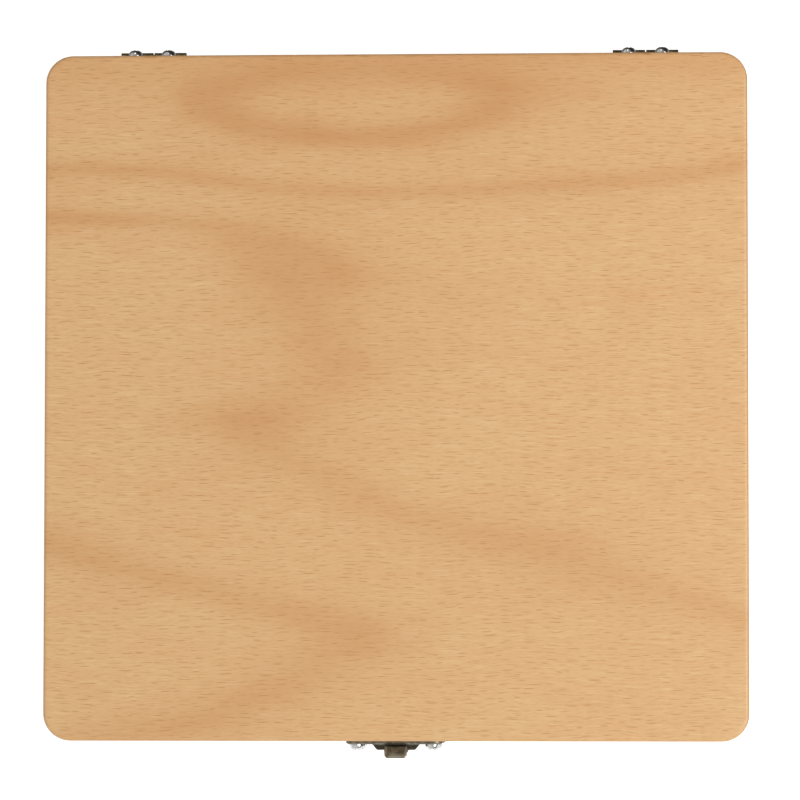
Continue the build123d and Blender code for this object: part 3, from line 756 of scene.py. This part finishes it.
def panMaterial():
    material, tree, place = newMaterial("mouldedPolystyrene")
    wave = add(tree, "TexNoise", {"Vector": place, "Scale": 1 / (plastic["wave"] * mm),
                                  "Detail": 3.0})
    closeMaterial(tree, plastic["shade"], [(wave, plastic["light"])],
                  [wave, 0.0, 1.0, *plastic["rough"]], wave, plastic["bump"], {"IOR": plastic["ior"]})
    return material


# Glazed porcelain: cool white, glass-smooth, with the glaze gathered a little darker in the
# wells, barely wavy and with a rare brown speck
glaze = {"light": "F3F2EE", "gathered": "E4E6E6", "speck": "8F8576", "speckCell": 9.0,
         "specks": (0.03, 0.015, 0.0, 0.5), "wave": 24.0, "rough": (0.06, 0.14),
         "bump": (0.3, 0.25), "ior": 1.52}


def glazeMaterial():
    material, tree, place = newMaterial("glazedPorcelain")
    pooled = add(tree, "Attribute", attribute_name="pooled").outputs["Fac"]
    cells = add(tree, "TexVoronoi", {"Vector": place, "Scale": 1 / (glaze["speckCell"] * mm)})
    specks = add(tree, "MapRange", [cells, *glaze["specks"]])
    layers = [(pooled, glaze["gathered"]), (specks, glaze["speck"])]
    wave = add(tree, "TexNoise", {"Vector": place, "Scale": 1 / (glaze["wave"] * mm),
                                  "Detail": 1.0})
    closeMaterial(tree, glaze["light"], layers, [wave, 0.0, 1.0, *glaze["rough"]], wave,
                  glaze["bump"], {"IOR": glaze["ior"]})
    return material


# Dried watercolour: pigment bound in gum, half matt, grainy, darker where it lies deep and
# crazed with a few fine cracks. The colour is the slot's own; bright is a factor and a lift.
paint = {"grain": 0.6, "cloud": 5.0, "clouds": (0.3, 0.72), "deep": 0.62, "bright": (1.12, 0.012),
         "crackCell": 7.0, "cracks": (0.02, 0.0, 0.0, 0.5), "crackDepth": -1.5,
         "rough": (0.42, 0.7), "bump": (0.5, 0.08), "ior": 1.47}


def paintMaterial(slotName, colour):
    material, tree, place = newMaterial("dry" + slotName.title().replace("_", ""))
    grain = add(tree, "TexNoise", {"Vector": place, "Scale": 1 / (paint["grain"] * mm),
                                   "Detail": 4.0})
    cloud = add(tree, "TexNoise", {"Vector": place, "Scale": 1 / (paint["cloud"] * mm),
                                   "Detail": 2.0})
    factor, lift = paint["bright"]
    deep = tuple(c * paint["deep"] for c in colour) + (1.0,)
    bright = tuple(min(1.0, c * factor + lift) for c in colour) + (1.0,)
    shade = add(tree, "MapRange", [cloud, *paint["clouds"]])
    cracks = add(tree, "TexVoronoi", {"Vector": place, "Scale": 1 / (paint["crackCell"] * mm)},
                 feature="DISTANCE_TO_EDGE")
    crack = add(tree, "MapRange", [cracks, *paint["cracks"]])
    relief = add(tree, "Math", [crack, paint["crackDepth"], grain], operation="MULTIPLY_ADD")
    closeMaterial(tree, deep, [(shade, bright), (crack, deep)], [grain, 0.0, 1.0, *paint["rough"]],
                  relief, paint["bump"], {"IOR": paint["ior"]})
    return material


# Open moulded pans, tapering down by their draft, in two rows at the given y
pan = {
    "halfX": 9.5, "halfY": 15.0, "radius": 1.8, "pitch": 19.4, "perRow": 12, "floor": 8.0,
    "rimZ": 18.0, "wall": 0.9, "draft": math.tan(math.radians(3)),
    "rows": {"back": 98.7, "front": 65.5},
}
# worn, offCentre and ripple are the ranges that each cake's own wear is drawn from
cake = {"top": 16.4, "bottom": 8.9, "halfX": 8.42, "halfY": 13.92, "radius": 1.15, "edge": 0.45,
        "worn": (0.5, 1.9), "offCentre": (-0.28, 0.28), "ripple": (0.03, 0.09), "bowl": 1.2}


# Makes one row of pans and gives where along x they stand
def panRow(row):
    lean = pan["draft"]
    inner = pan["wall"] + (pan["rimZ"] - pan["floor"] - pan["wall"]) * lean
    outer = (pan["rimZ"] - pan["floor"]) * lean
    rimZ, floor = pan["rimZ"], pan["floor"] + pan["wall"]
    profile = [(inner + 0.6, floor), (inner + 0.1, floor + 0.12), (inner, floor + 0.5),
               (0.92, rimZ - 0.35), (0.82, rimZ - 0.12), (0.6, rimZ), (0.3, rimZ),
               (0.1, rimZ - 0.1), (0.02, rimZ - 0.35), (outer - 0.02, pan["floor"] + 0.4),
               (outer + 0.12, pan["floor"] + 0.1), (outer + 0.45, pan["floor"])]
    core, direction = roundedLoop(pan["halfX"], pan["halfY"], pan["radius"], 6)
    one = ringShell(core, direction, pan["radius"], profile)
    places = (np.arange(pan["perRow"]) - (pan["perRow"] - 1) / 2) * pan["pitch"]
    shells = [movedTo(one, (x, pan["rows"][row], 0)) for x in places]
    makePiece(row + "RowPans", shells, panPlastic, f"pans_{row}_row")
    return places


# A used cake, worn by the brush into a bowl about an off-centre point. Its depth goes with
# ((1 - u^2)(1 - v^2))^1.4 and, with a small ripple, fades out at the walls.
def cakePiece(name, x, y, random):
    depth = random.uniform(*cake["worn"])
    middle = random.uniform(*cake["offCentre"], 2)
    ripple = random.uniform(*cake["ripple"])
    phase = random.uniform(0, 6.0, 2)

    def topAt(px, py):
        u, v = px / cake["halfX"], py / cake["halfY"]
        bowl = np.clip(1 - ((u - middle[0]) / cake["bowl"]) ** 2, 0, 1) * np.clip(
            1 - ((v - middle[1]) / cake["bowl"]) ** 2, 0, 1)
        wave = ripple * np.sin(5 * u + phase[0]) * np.cos(7 * v + phase[1])
        fade = np.clip((1 - np.maximum(np.abs(u), np.abs(v))) * 6, 0, 1)
        return cake["top"] - depth * bowl ** 1.4 * fade + wave * fade

    edge = cake["edge"]
    lean = (cake["top"] - cake["bottom"]) * pan["draft"]
    rim = roundover(edge, cake["top"], 3) + [(lean, cake["bottom"])]
    shell = slab(edgeLines(cake["halfX"] - edge, 0.75, 0.8, 2),
                 edgeLines(cake["halfY"] - edge, 0.75, 0.8, 2), cake["radius"], rim, topAt)
    makePiece(name.title().replace("_", ""), [movedTo(shell, (x, y, 0))],
              paintMaterial(slotOfNode[name], colourOfSlot[slotOfNode[name]]), name)


panPlastic = panMaterial()
colourOfSlot = {m["slot"]: m["base_color"][:3] for m in frame["record"]["materials"]}
random = np.random.default_rng(11)
for row, rowY in pan["rows"].items():
    for x in panRow(row):
        for name in frame["nodes"]:
            if name.startswith("paint_"):
                low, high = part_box(name)
                if low.x < x * mm < high.x and low.y < rowY * mm < high.y:
                    cakePiece(name, x, rowY, random)
print("paints done")

# The palette: four sloped wells and a row of eight round ones. The two falls are how far a
# well's side takes to reach its floor, and tilt is how deep the sloped floor lies, and varies.
palette = {
    "halfX": 118.5, "halfY": 54.5, "centreY": -8.4, "radius": 6.0, "bottom": 3.0, "top": 15.0,
    "edge": 1.6, "depth": 4.0, "slopedHalf": (26.5, 35.0), "slopedY": -14.5, "slopedPitch": 58.0,
    "slopedRadius": 6.0, "slopedFall": 3.6, "tilt": (0.78, 0.22), "roundRadius": 12.0,
    "roundY": 37.5, "roundPitch": 29.0, "roundFall": 3.2, "spacing": 1.0,
}


# Depth of the wells: a smoothstep of the distance inside each well's outline. The outline
# of a sloped well is a rounded rectangle, and its floor falls away towards the round wells.
def wellDepth(x, y):
    def fall(distance, run):
        t = np.clip(distance / run, 0, 1)
        return t * t * (3 - 2 * t)

    (halfX, halfY), corner = palette["slopedHalf"], palette["slopedRadius"]
    k = np.clip(np.round(x / palette["slopedPitch"] - 0.5) + 0.5, -1.5, 1.5)
    dx = np.abs(x - k * palette["slopedPitch"]) - halfX + corner
    dy = np.abs(y - palette["slopedY"]) - halfY + corner
    outside = np.hypot(np.maximum(dx, 0), np.maximum(dy, 0)) + np.minimum(np.maximum(dx, dy), 0)
    middle, swing = palette["tilt"]
    tilt = middle + swing * np.clip((y - palette["slopedY"]) / halfY, -1, 1)
    sloped = fall(corner - outside, palette["slopedFall"]) * tilt
    k = np.clip(np.round(x / palette["roundPitch"] - 0.5) + 0.5, -3.5, 3.5)
    away = np.hypot(x - k * palette["roundPitch"], y - palette["roundY"])
    return np.maximum(sloped, fall(palette["roundRadius"] - away, palette["roundFall"]))


edge, bottom = palette["edge"], palette["bottom"]
rim = roundover(edge, palette["top"]) + [(0, bottom + 0.8), (0.3, bottom + 0.2), (0.8, bottom)]
shell = slab(edgeLines(palette["halfX"] - edge, palette["spacing"]),
             edgeLines(palette["halfY"] - edge, palette["spacing"]), palette["radius"], rim,
             lambda x, y: palette["top"] - palette["depth"] * wellDepth(x, y))
pooled = np.clip((palette["top"] - shell[0][:, 2]) / palette["depth"], 0, 1)
makePiece("porcelainPalette", [movedTo(shell, (0, palette["centreY"], 0))], glazeMaterial(),
          "mixing_palette", {"pooled": pooled})
print("palette done")

# The studio in metres, watts and degrees, with floorDrop and underReach in millimetres.
# In reflections the ground glows as a painted reflection, bright in front and dark behind;
# its entry gives where in y that glow starts and stops changing, and its strengths there. A
# lamp is its power, its size and its place.
studio = {
    "floorHalf": 3.0, "floorShift": 1.0, "floorDrop": 0.05, "floorColour": "F4F4F3",
    "floorLift": 0.6, "mirrored": (-0.05, 0.21, 1.2, 0.03), "underReach": 0.5, "underLift": 0.85,
    "skyTowards": (-0.8, -0.5, 0.35), "sky": (-0.7, 0.8, 0.02, 0.7),
    "keyLamp": (39.0, 1.2, (1.5, -0.3, 1.7)), "fillLamp": (3.6, 0.4, (-0.35, 1.6, 1.8)),
    "cameraPlace": (0.1035, -0.102, 1.8), "cameraTurn": (3.275, 3.31, 0.049),
    "lens": 218.48, "sensor": 36.0, "white": "FFFFFF",
}


# 1 for rays from the camera and through glass, which see a white background
def seenDirectly(tree, rays):
    return add(tree, "Math", [rays.outputs["Is Camera Ray"], rays.outputs["Is Transmission Ray"]],
               operation="MAXIMUM")


floorMesh = bpy.data.meshes.new("paleFloor")
half, low = studio["floorHalf"], -studio["floorDrop"] * mm
left, right = studio["floorShift"] - half, studio["floorShift"] + half
floorMesh.from_pydata([(left, -half, low), (right, -half, low), (right, half, low),
                       (left, half, low)], [], [(0, 1, 2, 3)])
floor = addObject("paleFloor", floorMesh)
floorMaterial, tree, place = newMaterial("paperGround")
rays = add(tree, "LightPath")
lift = add(tree, "Math", [seenDirectly(tree, rays), studio["floorLift"]], operation="MULTIPLY")
glow = add(tree, "Emission", [studio["white"], lift])
paper = add(tree, "BsdfDiffuse", [studio["floorColour"]])
sheet = add(tree, "AddShader", [paper, glow])
# in reflections the ground glows instead, bright in front and dark behind: a painted reflection for
# the metal
depth = add(tree, "SeparateXYZ", [place]).outputs[1]
tone = add(tree, "MapRange", [depth, *studio["mirrored"]])
mirrored = add(tree, "Emission", [studio["white"], tone])
ground = add(tree, "MixShader", [rays.outputs["Is Glossy Ray"], sheet, mirrored])
# only the underside is so close to the ground, which glows evenly for it as painted light and
# reflects nothing
close = add(tree, "Math", [rays.outputs["Ray Length"], studio["underReach"] * mm],
            operation="LESS_THAN")
underGlow = add(tree, "Emission", [studio["white"], studio["underLift"]])
ground = add(tree, "MixShader", [close, ground, underGlow])
# from below the ground lets the underside be seen
under = add(tree, "NewGeometry").outputs["Backfacing"]
clear = add(tree, "BsdfTransparent")
add(tree, "OutputMaterial", [add(tree, "MixShader", [under, ground, clear])])
floorMesh.materials.append(floorMaterial)

world = bpy.data.worlds.new("studioWorld")
bpy.context.scene.world = world
world.use_nodes = True
world.node_tree.nodes.clear()
tree = world.node_tree
heading = add(tree, "TexCoord").outputs["Generated"]
towards = add(tree, "VectorMath", [heading, studio["skyTowards"]],
              operation="DOT_PRODUCT").outputs["Value"]
sky = add(tree, "MapRange", [towards, *studio["sky"]], interpolation_type="SMOOTHSTEP")
level = add(tree, "Mix", {0: seenDirectly(tree, add(tree, "LightPath")), 2: sky, 3: 1.0})
add(tree, "OutputWorld", [add(tree, "Background", [studio["white"], level])])

# Two square lamps that face the frame's origin, where the box stands
for name in ("keyLamp", "fillLamp"):
    lamp = bpy.data.lights.new(name, "AREA")
    lamp.energy, lamp.size, place = studio[name]
    holder = addObject(name, lamp)
    holder.location = place
    holder.rotation_euler = (math.acos(place[2] / math.hypot(*place)), 0,
                             math.atan2(place[1], place[0]) + math.pi / 2)

cameraData = bpy.data.cameras.new("photoCamera")
cameraData.lens, cameraData.sensor_width = studio["lens"], studio["sensor"]
camera = addObject("photoCamera", cameraData)
camera.location = studio["cameraPlace"]
camera.rotation_euler = [math.radians(a) for a in studio["cameraTurn"]]
bpy.context.scene.camera = camera
bpy.context.scene.view_settings.view_transform = "Standard"
print("studio done")
